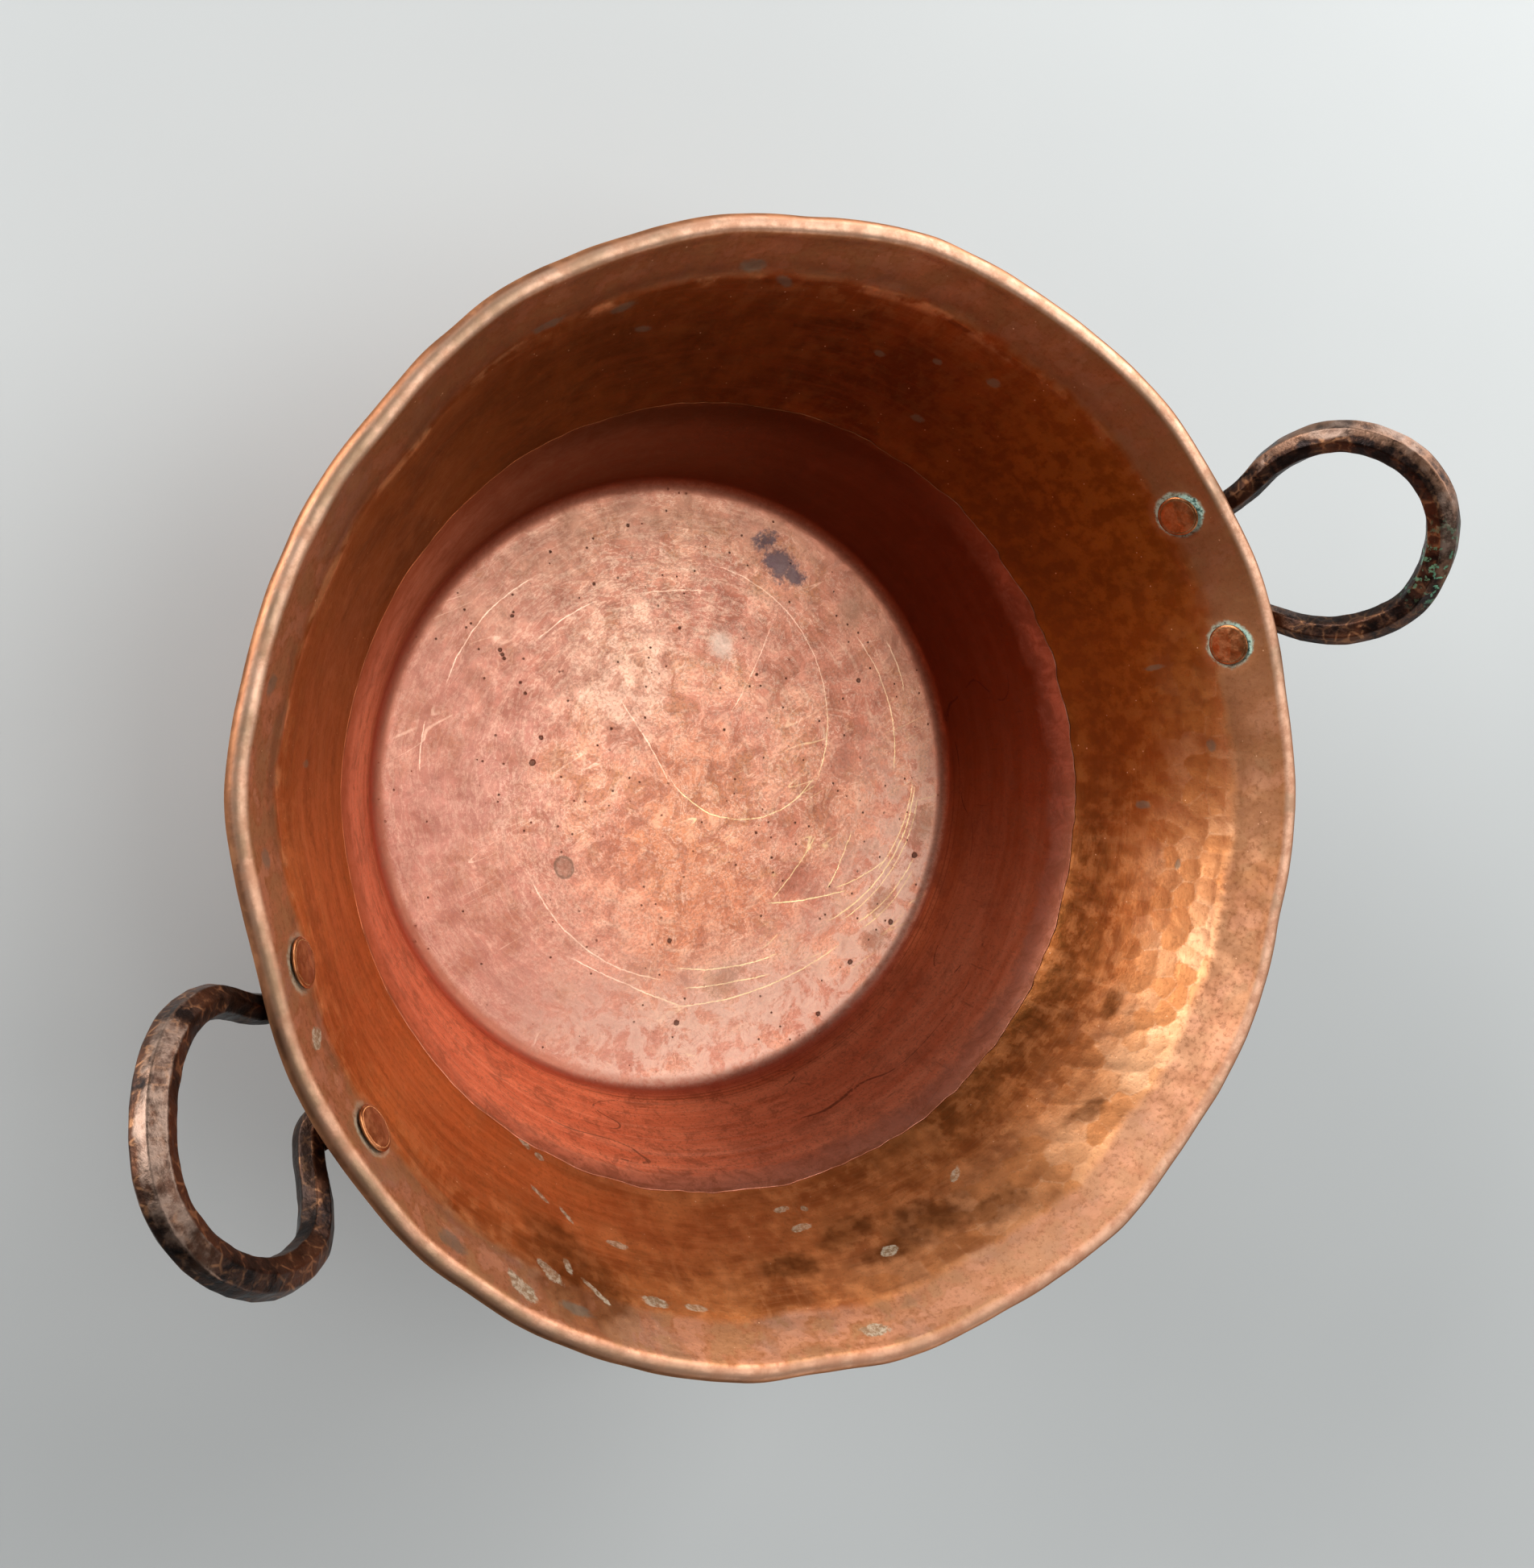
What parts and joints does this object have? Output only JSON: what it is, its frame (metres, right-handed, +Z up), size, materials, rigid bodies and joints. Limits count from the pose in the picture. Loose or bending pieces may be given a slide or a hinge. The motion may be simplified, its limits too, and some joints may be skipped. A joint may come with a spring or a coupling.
{
  "type": "cauldron",
  "caption": "Round copper cauldron with a flat base, a flared hammered wall, a wired rim and riveted loop handles, for heating and carrying liquids or food.",
  "frame": {"origin": "centre of the flat underside", "axes": "+Z up, out of the mouth; +X towards handle_right, with handle_left along -X"},
  "size_m": [0.4909, 0.3997, 0.2277],
  "materials": {
    "pan_copper": "scoured copper, salmon pink, with fine scratches and small pits",
    "wall_copper": "hammered copper with an orange-brown patina",
    "rim_iron": "drawn wire, hidden in the rolled rim",
    "handle_bronze": "forged, blackened, with worn brown ridges",
    "rivet_copper": "hammered copper rivet, brown, with green verdigris at its edge"
  },
  "bodies": {
    "root": {"lower_pan": "pan_copper", "wall_band": "wall_copper", "rim_wire": "rim_iron", "handle_right": "handle_bronze", "handle_left": "handle_bronze", "rivet_right_a": "rivet_copper", "rivet_right_b": "rivet_copper", "rivet_left_a": "rivet_copper", "rivet_left_b": "rivet_copper"}
  },
  "joints": []
}
